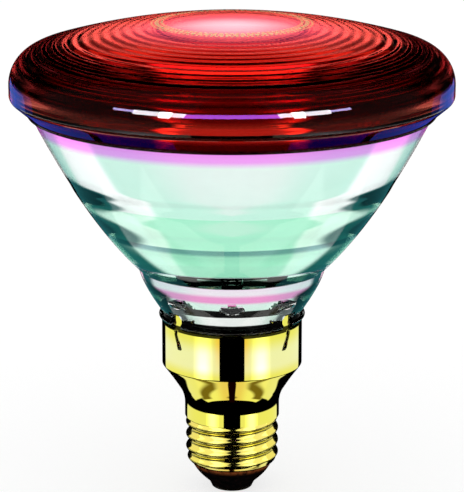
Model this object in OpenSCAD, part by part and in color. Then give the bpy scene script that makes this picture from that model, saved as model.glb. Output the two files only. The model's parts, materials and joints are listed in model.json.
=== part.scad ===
// Infrared heat lamp: a sealed pressed-glass reflector lamp with a ruby lens and a skirted screw cap.
// The lamp stands cap down. The origin is the middle of the centre contact's face, and +Z runs up the
// lamp's axis to the lens. All lengths are in millimetres and all angles in degrees.

/* [Lens] */
// Widest diameter of the lens, at its rim
lens_d = 122.4; // [114:0.2:126]
// Height of the lens from its joint with the bowl to the top of its dome
lens_h = 24.5; // [23:0.5:27]
// Radius of the dome
dome_r = 190; // [170:5:240]
// Radius of the shoulder between the dome and the rim
shoulder_r = 10; // [7:0.5:12]
// Height of the sloping flank under the rim
flank_h = 3.6; // [2.5:0.1:5]
// Thickness of the lens under the dome
lens_wall = 4.5; // [3.5:0.1:5.5]
// Thickness of the lens rim, measured from its widest point
rim_wall = 5; // [4:0.1:6]
// Number of ring flutes pressed into the inside of the lens
flute_count = 11; // [6:1:13]
// Width of one flute
flute_pitch = 3; // [2:0.1:3.4]
// How far a flute stands down from the inner face
flute_depth = 0.8; // [0.3:0.1:1.2]

/* [Bowl] */
// Height of the bowl from the ledge above its neck to its rim
bowl_h = 44.8; // [40:0.2:50]
// How far the lens rim stands out past the bowl's rim
lens_overhang = 5.3; // [4.5:0.1:6.5]
// Radius of the bowl at its ledge
ledge_r = 26.5; // [25:0.1:29]
// Thickness of the bowl's wall at the rim
bowl_wall = 3.5; // [3:0.1:4.2]
// Height of the lower mirror zone above the ledge
zone_low_h = 13.9; // [10:0.1:17]
// Height of the middle mirror zone's top above the ledge
zone_mid_h = 23.6; // [20:0.1:30]
// Step inwards from one mirror zone to the zone below it
zone_step = 0.35; // [0.2:0.05:0.6]
// How far the outside of the lower bands stands out past the upper band where they meet
band_step = 0.6; // [0.2:0.1:0.8]
// Thickness of the glass floor under the mirror
floor_wall = 5.4; // [4.5:0.1:6.5]
// Depth of the glass floor's top below the filament
floor_drop = 7.2; // [7:0.1:8]
// Thickness of the aluminised mirror lining
mirror_wall = 0.25; // [0.15:0.05:0.4]
// Height of the weld bead below the joint of lens and bowl
weld_h = 1.2; // [0.8:0.1:1.8]
// Width of the weld bead beside the bowl's rim
weld_w = 0.9; // [0.5:0.1:1]

/* [Neck] */
// Height of the neck from the top of the skirt to the ledge
neck_h = 15.4; // [14.5:0.1:18]
// Height of the glass heel that stands inside the skirt
heel_h = 6.5; // [5:0.1:8]
// Radius of the hollow inside the heel
heel_bore_r = 15.4; // [14:0.1:16]
// How far the bead at the foot of the neck stands out past the skirt
bead_out = 0.8; // [0.5:0.1:1.2]
// Height of that bead
bead_h = 1.9; // [1.5:0.1:2.2]
// Height of the bead's foot above the skirt's edge
bead_gap = 0.3; // [0.2:0.1:0.6]
// Height of the waist above the bead
waist_h = 0.8; // [0.6:0.1:1.6]
// How far the waist is drawn in from the bead
waist_in = 0.5; // [0.2:0.1:0.8]
// Width of the ledge where the neck meets the bowl
ledge_w = 0.8; // [0.5:0.1:1.2]
// Bevel on the lower edge of the heel
heel_bevel = 0.6; // [0.3:0.1:1]
// Number of arched lugs on each half of the neck, clear of the mould's parting lines
lug_count = 3; // [1:1:3]
// Angle between two lugs of one half
lug_turn = 40; // [36:1:50]
// Width of a lug
lug_w = 6.4; // [5:0.1:7]
// Height of a lug
lug_h = 3; // [2.4:0.1:3.6]
// Height of the dome on a lug's end
lug_dome = 0.7; // [0.4:0.1:1]
// Height of the lugs' middle above the top of the skirt
lug_rise = 8.6; // [8:0.1:9.2]
// Radius from the axis to the lugs' outer ends
lug_out_r = 24; // [23.6:0.1:24.5]

/* [Skirt] */
// Outer radius of the skirt
skirt_r = 19.7; // [19:0.1:20.5]
// Height of the whole cap, from the contact to the top of the skirt
cap_h = 50.2; // [48:0.1:53]
// Length of the straight part of the skirt
skirt_h = 13; // [11:0.1:15]
// Length of the cone between the skirt and the collar
cone_h = 9.1; // [8:0.1:11]
// Outer radius of the collar over the top of the screw shell
collar_r = 13.35; // [13.2:0.05:13.8]
// Length of the collar
collar_h = 6.5; // [5:0.1:8]
// Thickness of the skirt's brass
skirt_wall = 0.35; // [0.25:0.05:0.5]
// Radius of the bend between skirt and cone
skirt_bend_r = 1.2; // [0.5:0.1:2]
// Radius of the bend between cone and collar
collar_bend_r = 6; // [3:0.5:8]
// Angle from the front or back of the lamp to each of the four tabs that lock the skirt to the glass
tab_turn = 50; // [42:1:55]
// Width of a tab
tab_w = 3.2; // [2.4:0.1:4]
// Height of a tab above the skirt
tab_h = 4.4; // [3:0.1:4.6]
// How far the tabs are pressed in from the skirt's surface
tab_in = 0.3; // [0.2:0.05:0.5]
// Clearance between a tab and the sides and top of its pocket
tab_gap = 0.4; // [0.3:0.05:0.6]
// Length of the slit below each tab
slit_h = 4.6; // [3:0.1:5.5]
// Depth of the slit's top below the skirt's edge
slit_drop = 0.8; // [0.5:0.1:1.5]
// Lean of the slit from upright
slit_lean = 20; // [0:1:25]
// Radius of the three-cornered lance at the slit's lower end
lance_r = 1.2; // [0.8:0.1:1.4]
// Width of that slit
slit_w = 0.7; // [0.5:0.1:1]

/* [Screw shell] */
// Radius over the crests of the screw thread
thread_r = 13.13; // [13.03:0.01:13.2]
// Depth of the thread from crest to root
thread_depth = 1; // [0.8:0.05:1.1]
// Rise of the thread in one turn
thread_pitch = 3.629; // [3.4:0.001:3.8]
// Direction of the first crest above the shell's lower edge
thread_start = 103.6; // [0:0.1:360]
// Thickness of the shell's brass
shell_wall = 0.3; // [0.2:0.05:0.4]

/* [Insulator and contact] */
// Radius of the centre contact where it meets the insulator
contact_r = 6; // [5:0.1:6.5]
// Thickness of the centre contact
contact_wall = 1; // [0.8:0.1:1.4]
// Radius of the solder plug in the contact
solder_r = 1.4; // [1.2:0.1:1.8]
// Height of the glass insulator below the shell
insulator_h = 6.8; // [6:0.1:8]
// Height of the insulator's plug inside the shell
plug_h = 5; // [3:0.1:6]
// How far the insulator's flank bulges
insulator_bulge = 0.6; // [0.3:0.1:1]

/* [Filament mount] */
// Distance between the two lead posts
post_gap = 15; // [13:0.5:17]
// Radius of a lead post
post_r = 0.9; // [0.7:0.1:1.1]
// Outer radius of a metal ferrule
ferrule_r = 3.4; // [3:0.1:3.8]
// Thickness of a ferrule
ferrule_wall = 0.4; // [0.3:0.05:0.6]
// How far a ferrule stands above the glass floor
ferrule_up = 0.8; // [0.5:0.1:1.5]
// How far a ferrule stands below the glass floor
ferrule_down = 2; // [1:0.1:3]
// Radius of the filament's coil
coil_r = 0.8; // [0.6:0.05:1]
// Radius of the filament's wire
filament_wire_r = 0.15; // [0.1:0.01:0.2]
// Turns in the filament's coil
coil_turns = 24; // [16:1:26]
// Radius of the glass bridge between the posts
bridge_r = 1.7; // [1.4:0.1:2]
// Clearance between the bridge and the ferrules under it
bridge_gap = 0.5; // [0.3:0.05:0.8]
// Radius of a filament support wire
support_wire_r = 0.25; // [0.2:0.05:0.35]
// Radius of the exhaust tube
exhaust_r = 2.2; // [1.8:0.1:2.6]
// Length of the exhaust tube below the glass floor
exhaust_h = 8; // [6:0.5:10]

/* [Leads] */
// Radius of the lead wires
lead_r = 0.45; // [0.35:0.05:0.6]
// Outer radius of the sleeve on the centre lead
sleeve_r = 1.1; // [1:0.05:1.3]
// Length of that sleeve
sleeve_h = 26; // [18:1:28]
// Height over which the centre lead bends out to its ferrule
lead_bend_h = 12; // [8:0.5:13]
// Clearance of the leads' bends below the exhaust tube
lead_drop = 1; // [0.5:0.1:2]
// Radius of the weld nugget on the side lead
weld_nugget_r = 0.8; // [0.5:0.1:1.1]
// Thickness of that nugget
weld_nugget_w = 0.5; // [0.3:0.1:0.8]
// Outer radius of the fuse tube on the side lead
fuse_r = 1.5; // [1.2:0.1:2]
// Length of the fuse tube
fuse_h = 8; // [6:0.5:9]

/* [Fits] */
// Clearance between the glass heel and the skirt
heel_gap = 0.1; // [0.05:0.05:0.2]
// Clearance between the insulator's plug and the shell
plug_gap = 0.08; // [0.05:0.01:0.15]
// Clearance round a wire in a hole or sleeve
wire_gap = 0.08; // [0.05:0.01:0.15]
// Clearance between the filament and what holds it
filament_gap = 0.2; // [0.1:0.05:0.3]
// Clearance between the weld nugget and the collar
weld_gap = 0.05; // [0.03:0.01:0.1]

/* [Hidden] */
$fn = 96;

lens_r = lens_d / 2;
// Heights of the seats that carry one piece on the next
shell_z = contact_wall + insulator_h;
cone_top_z = cap_h - skirt_h;
cone_foot_z = cone_top_z - cone_h;
collar_z = cone_foot_z - collar_h;
ledge_z = cap_h + neck_h;
joint_z = ledge_z + bowl_h;
apex_z = joint_z + lens_h;

// The bowl's outside is a parabola through the ledge and the rim: its radius squared grows evenly
bowl_rim_r = lens_r - lens_overhang;
bowl_growth = (pow(bowl_rim_r, 2) - pow(ledge_r, 2)) / bowl_h;
bowl_vertex_z = ledge_z - pow(ledge_r, 2) / bowl_growth;
zone_low_z = ledge_z + zone_low_h;
zone_mid_z = ledge_z + zone_mid_h;
curve_steps = 10;

// The filament sits in the focus of the mirror, and the glass floor lies below it
filament_z = bowl_vertex_z + bowl_growth / 4 + bowl_wall;
floor_z = filament_z - floor_drop;
floor_under_z = floor_z - floor_wall;
bridge_z = floor_z + ferrule_up + bridge_gap + bridge_r;

// The screw thread is a round tube set off the axis and turned as it rises
thread_offset = thread_depth / 2;
thread_tube_r = thread_r - thread_offset;
shell_bore_r = thread_tube_r - shell_wall - thread_offset;
thread_slices_per_turn = 16;
thread_sides = 32;
collar_lip = 0.4;

wire_sides = 6;
coil_steps = 8;
support_angles = [225, 270, 315];
lead_steps = 10;

// ---- Helpers ----

function unit(v) = v / norm(v);

function reversed(list) = [for (i = [len(list) - 1 : -1 : 0]) list[i]];

// Points along an arc about a centre, from angle a to angle b
function arc(centre, r, a, b, steps) =
    [for (i = [0 : steps]) centre + r * [cos(a + (b - a) * i / steps), sin(a + (b - a) * i / steps)]];

// The arc of radius r that rounds the corner b of the outline a, b, c
function rounded(a, b, c, r, steps = 6) =
    let (u = unit(a - b), v = unit(c - b), half = acos(u * v) / 2, turn = 180 - 2 * half)
    let (centre = b + unit(u + v) * r / sin(half))
    let (first = b + u * r / tan(half) - centre, last = b + v * r / tan(half) - centre)
    [for (i = [0 : steps]) centre
        + (sin(turn * (1 - i / steps)) * first + sin(turn * i / steps) * last) / sin(turn)];

// Direction square to the line a, b, on its left
function left_of(a, b) = let (d = unit(b - a)) [-d.y, d.x];

// An outline moved to its left by a distance, with its corners kept sharp
function beside(path, distance) = [for (i = [0 : len(path) - 1])
    let (last = len(path) - 1)
    let (before = left_of(path[max(i - 1, 0)], path[max(i, 1)]))
    let (after = left_of(path[min(i, last - 1)], path[min(i + 1, last)]))
    path[i] + (before + after) * distance / (1 + before * after)];

// The point at height z on an outline that rises all the way
function point_at(path, z) =
    let (i = max([for (k = [0 : len(path) - 2]) if (path[k].y <= z) k]))
    path[i] + (path[i + 1] - path[i]) * (z - path[i].y) / (path[i + 1].y - path[i].y);

// The stretch of a rising outline between two heights
function between(path, low, high) =
    concat([point_at(path, low)], [for (p = path) if (p.y > low && p.y < high) p], [point_at(path, high)]);

// Points round a wire at p, which runs along t, with the first one square to ref
function wire_ring(p, t, ref, r) =
    let (u = unit(cross(t, ref)), v = cross(unit(t), u))
    [for (k = [0 : wire_sides - 1]) p + r * (cos(360 * k / wire_sides) * u + sin(360 * k / wire_sides) * v)];

// A wire of radius r along a path of points, with a reference direction for each point
module wire(path, refs, r) {
    last = len(path) - 1;
    rings = [for (i = [0 : last])
        wire_ring(path[i], path[min(i + 1, last)] - path[max(i - 1, 0)], refs[i], r)];
    n = wire_sides;
    sides = [for (i = [0 : last - 1]) for (k = [0 : n - 1]) for (f = [0, 1])
        let (a = i * n + k, b = i * n + (k + 1) % n)
        f == 0 ? [a, a + n, b] : [b, a + n, b + n]];
    polyhedron(
        points = [for (ring = rings) for (p = ring) p],
        faces = concat([[for (k = [0 : n - 1]) k]], sides, [[for (k = [n - 1 : -1 : 0]) last * n + k]]));
}

// A wire whose whole path is square to one direction
module flat_wire(path, ref, r) {
    wire(path, [for (p = path) ref], r);
}

// Copies turned to both sides of the lamp's front, and of its back; $side is the side
module at_tabs() {
    for (half = [-90, 90]) for ($side = [-1, 1]) rotate([0, 0, half + $side * tab_turn]) children();
}

function smooth_step(t) = t * t * (3 - 2 * t);

// ---- Outlines ----

// Outside radius of the bowl's plain parabola
function bowl_curve_r(z) = sqrt(bowl_growth * (z - bowl_vertex_z));

// Heights spread evenly from a to b
function heights(a, b, steps) = [for (i = [0 : steps]) a + (b - a) * i / steps];

// The bowl's outside: lower bands swell out to the step, and the upper band starts inside it
function bowl_low_r(z) = bowl_curve_r(z) + band_step / 2 * (z - ledge_z) / zone_mid_h;
function bowl_high_r(z) = bowl_curve_r(z) - band_step / 2 * (joint_z - z) / (bowl_h - zone_mid_h);
bowl_outside = concat(
    [for (z = heights(ledge_z, zone_mid_z, 2 * curve_steps)) [bowl_low_r(z), z]],
    [for (z = heights(zone_mid_z + band_step, joint_z - weld_h, curve_steps)) [bowl_high_r(z), z]],
    [[bowl_rim_r, joint_z]]);

// The mirror's seat: three zones beside the parabola, each lower one a step further in
function zone(z_a, z_b, wall) =
    beside([for (z = heights(z_a, z_b, curve_steps)) [bowl_curve_r(z), z]], wall);
zone_low = zone(bowl_vertex_z + bowl_wall / 2, zone_low_z, bowl_wall + 2 * zone_step);
zone_mid = zone(zone_low_z, zone_mid_z, bowl_wall + zone_step);
zone_high = zone(zone_mid_z, joint_z, bowl_wall);
mirror_seat = concat(
    between(zone_low, floor_z, zone_low[curve_steps].y), zone_mid,
    between(zone_high, zone_high[0].y, joint_z));
mirror_rim_r = mirror_seat[len(mirror_seat) - 1].x;

// The neck: heel, bead on the skirt's edge, waist and flare up to the ledge
heel_r = skirt_r - skirt_wall - heel_gap;
bead_r = skirt_r + bead_out;
bead_z = cap_h + bead_gap + bead_h / 2;
bead_arc_end = 50;
waist_z = bead_z + bead_h / 2 + waist_h;
waist_r = bead_r - waist_in;
flare_top = [ledge_r - ledge_w, ledge_z - ledge_w];
function flare_r(t) = waist_r + (flare_top.x - waist_r) * (t + sin(90 * t)) / 2;
neck_outside = concat(
    [[heel_bore_r, cap_h - heel_h], [heel_r - heel_bevel, cap_h - heel_h],
        [heel_r, cap_h - heel_h + heel_bevel]],
    [for (a = heights(-90, bead_arc_end, 6))
        [heel_r + (bead_r - heel_r) * cos(a), bead_z + bead_h / 2 * sin(a)]],
    [for (t = heights(0, 1, 12)) [flare_r(t), waist_z + t * (flare_top.y - waist_z)]]);

// The skirt's outside, from the foot of the collar to the top edge
collar_foot = [collar_r, collar_z];
collar_corner = [collar_r, cone_foot_z];
skirt_corner = [skirt_r, cone_top_z];
skirt_edge = [skirt_r, cap_h];
skirt_outside = concat([collar_foot],
    rounded(collar_foot, collar_corner, skirt_corner, collar_bend_r),
    rounded(collar_corner, skirt_corner, skirt_edge, skirt_bend_r),
    [skirt_edge]);

// The lens: dome and shoulder are arcs that run into each other
dome_centre = [0, apex_z - dome_r];
shoulder_centre = dome_centre + [lens_r - shoulder_r,
    sqrt(pow(dome_r - shoulder_r, 2) - pow(lens_r - shoulder_r, 2))];
shoulder_end = acos((lens_r - shoulder_r) / (dome_r - shoulder_r));
lens_foot_r = bowl_rim_r + weld_w + 0.2;
flank_top = [lens_r, joint_z + flank_h];
lens_outside = concat([[lens_foot_r, joint_z]],
    rounded([lens_foot_r, joint_z], flank_top, flank_top + [0, 4], 1.5, 4),
    arc(shoulder_centre, shoulder_r, 0, shoulder_end, 12),
    [for (p = arc(dome_centre, dome_r, shoulder_end, 90, 24)) if (p.x < shoulder_centre.x) p]);

// Its inside: a foot over the bowl's rim, a straight wall, then the flutes and the smooth middle
lens_bore_r = lens_r - rim_wall;
function lens_under_z(r) = dome_centre.y + sqrt(pow(dome_r - lens_wall, 2) - r * r);
flute_points = 6;
flutes = [for (k = [0 : flute_count - 1]) for (i = [0 : flute_points - 1])
    let (r = lens_bore_r - (k + i / flute_points) * flute_pitch)
    [r, lens_under_z(r) - flute_depth * sin(180 * i / flute_points)]];
flutes_end_r = lens_bore_r - flute_count * flute_pitch;
lens_inside = concat([[mirror_rim_r, joint_z], [lens_bore_r, joint_z + flank_h + 0.6]], flutes,
    [for (i = [0 : 6]) let (r = flutes_end_r * (1 - i / 6)) [r, lens_under_z(r)]]);

// The insulator's flank, from the contact to the shell
insulator_foot_r = contact_r + 0.6;
flange_r = thread_tube_r;
insulator_flank = concat([[contact_r + 0.1, contact_wall]],
    [for (t = heights(0, 1, 8)) [insulator_foot_r + (flange_r - insulator_foot_r) * t
        + insulator_bulge * sin(180 * t), contact_wall + 1 + (insulator_h - 1) * t]]);

// ---- Glass ----

// The ruby lens, pressed with ring flutes inside
module lens() {
    color([0.72, 0.05, 0.05, 0.9])
        rotate_extrude() polygon(concat(lens_outside, reversed(lens_inside)));
}

// The bead of melted glass that closes the joint of lens and bowl
module rim_weld() {
    color([0.75, 0.35, 0.45])
        rotate_extrude()
            polygon([[bowl_rim_r, joint_z], [bowl_high_r(joint_z - weld_h), joint_z - weld_h],
                [bowl_rim_r + weld_w / 2, joint_z - weld_h / 2], [bowl_rim_r + weld_w, joint_z]]);
}

// One oval lug with a domed end, which stands out of the neck along +X
module neck_lug() {
    foot = heel_bore_r + 2;
    translate([foot, 0, cap_h + lug_rise]) rotate([0, 90, 0]) scale([lug_h / lug_w, 1, 1])
        rotate_extrude() polygon(concat([[0, 0], [lug_w / 2, 0]], [for (a = heights(0, 90, 5))
            [lug_w / 2 * cos(a), lug_out_r - foot + lug_dome * (sin(a) - 1)]]));
}

// A row of lugs round each half of the neck
module neck_lugs() {
    for (half = [-90, 90]) for (k = [0 : lug_count - 1])
        rotate([0, 0, half + (k - (lug_count - 1) / 2) * lug_turn]) neck_lug();
}

// The pocket in bead and neck that takes one skirt tab
module tab_pocket() {
    translate([heel_r - tab_in, -tab_w / 2 - tab_gap, cap_h - tab_in])
        cube([lug_out_r, tab_w + 2 * tab_gap, tab_in + tab_h + tab_gap]);
}

// The pressed bowl with its stepped mirror seat, glass floor, neck, lugs and heel
module reflector_bowl() {
    color([0.75, 0.95, 0.88, 0.6])
        difference() {
            union() {
                rotate_extrude()
                    polygon(concat(neck_outside, bowl_outside, reversed(mirror_seat), [[0, floor_z],
                        [0, floor_under_z], [heel_bore_r, floor_under_z]]));
                neck_lugs();
            }
            at_tabs() tab_pocket();
            for (side = [-1, 1]) translate([side * post_gap / 2, 0, floor_under_z - 1])
                cylinder(r = ferrule_r, h = floor_wall + 2);
            translate([0, 0, floor_under_z - 1]) cylinder(r = exhaust_r / 2, h = floor_wall + 2);
        }
}

// The aluminised lining of the bowl, from the edge of the floor to the rim
module mirror_lining() {
    color("lightgray")
        rotate_extrude()
            polygon(concat(mirror_seat, [[mirror_rim_r - mirror_wall, joint_z]],
                reversed([for (p = beside(mirror_seat, mirror_wall)) if (p.y < joint_z - 0.3) p])));
}

// The tube through which the lamp was pumped out, with its end melted shut
module exhaust_tube() {
    tip_z = floor_under_z - exhaust_h;
    color([0.85, 0.95, 0.95, 0.7])
        rotate_extrude()
            polygon(concat([[exhaust_r / 2, floor_under_z], [exhaust_r / 2, tip_z + 1.5 * exhaust_r],
                [0, tip_z + exhaust_r]],
                arc([0, tip_z + exhaust_r], exhaust_r, -90, 0, 7),
                [[exhaust_r, floor_under_z]]));
}

// ---- Filament mount ----

// Centre line of the filament: half a circle between the posts, level with the mirror's focus
arc_r = post_gap / 2;
coil_margin = asin((post_r + filament_wire_r + filament_gap) / arc_r);
coil_count = coil_turns * coil_steps;
function coil_angle(i) = 180 + coil_margin + (180 - 2 * coil_margin) * i / coil_count;
function coil_point(i) =
    let (a = coil_angle(i), turn = 360 * i / coil_steps, out = [cos(a), sin(a), 0])
    [0, 0, filament_z] + (arc_r + coil_r * cos(turn)) * out + [0, 0, coil_r * sin(turn)];

// The coiled tungsten wire
module filament() {
    color([0.55, 0.5, 0.45])
        wire([for (i = [0 : coil_count]) coil_point(i)],
            [for (i = [0 : coil_count]) [-sin(coil_angle(i)), cos(coil_angle(i)), 0]], filament_wire_r);
}

// The molybdenum wires that hold the coil up between the posts
module filament_supports() {
    hook_z = filament_z - coil_r - filament_wire_r - filament_gap;
    color("silver")
        for (a = support_angles) {
            foot = [arc_r * cos(a), -bridge_r, bridge_z];
            tip = [arc_r * cos(a), arc_r * sin(a), hook_z];
            flat_wire([foot, foot - [0, 0.8, 0], tip - [0, -0.3, 1], tip], [1, 0, 0], support_wire_r);
        }
}

// The glass rod that ties the two posts together
module filament_bridge() {
    color([0.8, 0.9, 0.95])
        difference() {
            translate([-post_gap / 2 - bridge_r, 0, bridge_z]) rotate([0, 90, 0])
                cylinder(r = bridge_r, h = post_gap + 2 * bridge_r);
            for (side = [-1, 1]) translate([side * post_gap / 2, 0, bridge_z - bridge_r - 1])
                cylinder(r = post_r, h = 2 * bridge_r + 2);
        }
}

// A nickel post, brazed to the top of its ferrule and notched for the end of the coil
module lead_post(side) {
    post_top = filament_z + coil_r + 0.6;
    color("silver")
        translate([side * post_gap / 2, 0, floor_z + ferrule_up])
            difference() {
                cylinder(r = post_r, h = post_top - floor_z - ferrule_up);
                translate([-post_r, -post_r / 4, filament_z - floor_z - ferrule_up])
                    cube([2 * post_r, post_r / 2, post_top]);
            }
}

// A metal cup sealed into the glass floor, open side down
module ferrule(side) {
    color("slategray")
        translate([side * post_gap / 2, 0, 0])
            difference() {
                translate([0, 0, floor_under_z - ferrule_down])
                    cylinder(r = ferrule_r, h = floor_wall + ferrule_down + ferrule_up);
                translate([0, 0, floor_under_z - ferrule_down - 1])
                    cylinder(r = ferrule_r - ferrule_wall,
                        h = floor_wall + ferrule_down + ferrule_up - ferrule_wall + 1);
            }
}

module lead_post_left() { lead_post(-1); }
module lead_post_right() { lead_post(1); }
module ferrule_left() { ferrule(-1); }
module ferrule_right() { ferrule(1); }

// ---- Cap ----

// What is cut from the skirt's wall above its edge, so that only the tabs still stand there
module between_tabs() {
    difference() {
        translate([0, 0, cap_h]) cylinder(r = skirt_r + 1, h = tab_h + 1);
        at_tabs() translate([0, -tab_w / 2, cap_h - 1]) cube([skirt_r + 2, tab_w, tab_h + 3]);
    }
}

// The slit below a tab, with the small three-cornered lance at its lower end, which leans to one side
module skirt_slit(lean) {
    translate([skirt_r - 1, 0, cap_h - slit_drop - slit_h / 2]) rotate([lean, 0, 0])
        translate([0, 0, -slit_h / 2]) {
            translate([0, -slit_w / 2, 0]) cube([2, slit_w, slit_h]);
            rotate([0, 90, 0]) cylinder(r = lance_r, h = 2, $fn = 3);
        }
}

// The drawn brass skirt with its cone and the collar that takes the screw shell
module cap_skirt() {
    wall_outside = concat(skirt_outside,
        [[skirt_r - tab_in, cap_h + tab_in], [skirt_r - tab_in, cap_h + tab_h]]);
    lip = [[collar_r - skirt_wall, collar_z + collar_lip], [shell_bore_r, collar_z + collar_lip]];
    color([0.9, 0.8, 0.4])
        difference() {
            rotate_extrude()
                polygon(concat([[shell_bore_r, collar_z]], wall_outside,
                    [for (p = reversed(beside(wall_outside, skirt_wall))) if (p.y > collar_z + collar_lip) p],
                    lip));
            between_tabs();
            at_tabs() skirt_slit(-$side * slit_lean);
        }
}

// The rolled brass shell: a right-handed round thread
module screw_shell() {
    shell_h = collar_z - shell_z;
    turns = shell_h / thread_pitch;
    color([0.93, 0.82, 0.42])
        translate([0, 0, shell_z]) rotate([0, 0, thread_start])
            linear_extrude(height = shell_h, twist = -360 * turns,
                    slices = ceil(thread_slices_per_turn * turns), $fn = thread_sides)
                translate([thread_offset, 0]) difference() {
                    circle(r = thread_tube_r);
                    circle(r = thread_tube_r - shell_wall);
                }
}

// The black glass cone that keeps contact and shell apart, with a plug inside the shell
module insulator() {
    plug_r = shell_bore_r - plug_gap;
    bore_r = sleeve_r + wire_gap;
    color([0.08, 0.06, 0.06])
        rotate_extrude()
            polygon(concat([[bore_r, contact_wall]], insulator_flank,
                [[plug_r, shell_z], [plug_r, shell_z + plug_h], [plug_r - 2.5, shell_z + plug_h],
                [plug_r - 3.5, shell_z - 1], [bore_r + 1.5, shell_z - 2], [bore_r, shell_z - 2]]));
}

// The brass plate at the bottom of the cap
module centre_contact() {
    color([0.85, 0.72, 0.35])
        rotate_extrude()
            polygon([[solder_r, 0], [contact_r - 0.6, 0], [contact_r - 0.15, contact_wall / 2],
                [contact_r, contact_wall], [solder_r, contact_wall]]);
}

// The solder that fills the plate's hole
module contact_solder() {
    color("lightslategray")
        cylinder(r = solder_r, h = contact_wall);
}

// ---- Leads inside the cap ----

ferrule_roof_z = floor_z + ferrule_up - ferrule_wall;
bend_high_z = floor_under_z - exhaust_h - lead_drop;
weld_z = collar_z + collar_h / 2;
weld_face_x = collar_r - skirt_wall - weld_gap;
side_lead_x = weld_face_x - weld_nugget_w - lead_r;

// Points of a lead that changes sides smoothly between two heights
function lead_bend(x_low, x_high, z_low, z_high) = [for (t = heights(0, 1, lead_steps))
    [x_low + (x_high - x_low) * smooth_step(t), 0, z_low + (z_high - z_low) * t]];

// The wire from the contact's solder to the left ferrule
module centre_lead() {
    color([0.8, 0.5, 0.35])
        flat_wire(concat([[0, 0, contact_wall]],
            lead_bend(0, -post_gap / 2, bend_high_z - lead_bend_h, bend_high_z),
            [[-post_gap / 2, 0, ferrule_roof_z]]), [0, 1, 0], lead_r);
}

// The fibre sleeve that keeps the centre lead clear of the shell
module lead_sleeve() {
    color("ivory")
        translate([0, 0, contact_wall + wire_gap])
            difference() {
                cylinder(r = sleeve_r, h = sleeve_h);
                translate([0, 0, -1]) cylinder(r = lead_r + wire_gap, h = sleeve_h + 2);
            }
}

// The wire from the right ferrule to the collar
module side_lead() {
    color([0.8, 0.5, 0.35])
        flat_wire(concat([[side_lead_x, 0, weld_z - weld_nugget_r]],
            lead_bend(side_lead_x, post_gap / 2, collar_z + collar_h, bend_high_z - fuse_h),
            [[post_gap / 2, 0, ferrule_roof_z]]), [0, 1, 0], lead_r);
}

// The glass fuse tube round the straight part of the side lead
module fuse_tube() {
    color([0.85, 0.95, 0.9])
        translate([post_gap / 2, 0, bend_high_z - fuse_h + lead_r])
            difference() {
                cylinder(r = fuse_r, h = fuse_h);
                translate([0, 0, -1]) cylinder(r = lead_r + wire_gap, h = fuse_h + 2);
            }
}

// The nugget of weld between the side lead and the collar
module side_weld() {
    color("gray")
        translate([weld_face_x - weld_nugget_w, 0, weld_z]) rotate([0, 90, 0])
            cylinder(r = weld_nugget_r, h = weld_nugget_w);
}

lens();
rim_weld();
reflector_bowl();
mirror_lining();
filament();
filament_supports();
filament_bridge();
lead_post_left();
lead_post_right();
ferrule_left();
ferrule_right();
exhaust_tube();
cap_skirt();
screw_shell();
insulator();
centre_contact();
contact_solder();
centre_lead();
lead_sleeve();
side_lead();
fuse_tube();
side_weld();
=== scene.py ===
# %% [markdown]
# # An infrared heat lamp in glass and brass
#
# This lesson dresses a CAD model of a screw-in reflector heat lamp: a ruby lens is welded to a clear bowl,
# the bowl is silvered inside, and a brass cap holds its narrow end. Lengths are in millimetres, along the
# lamp's axis (z) or away from it (r), and turn into metres when a mesh is made.

import json
import math

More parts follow.
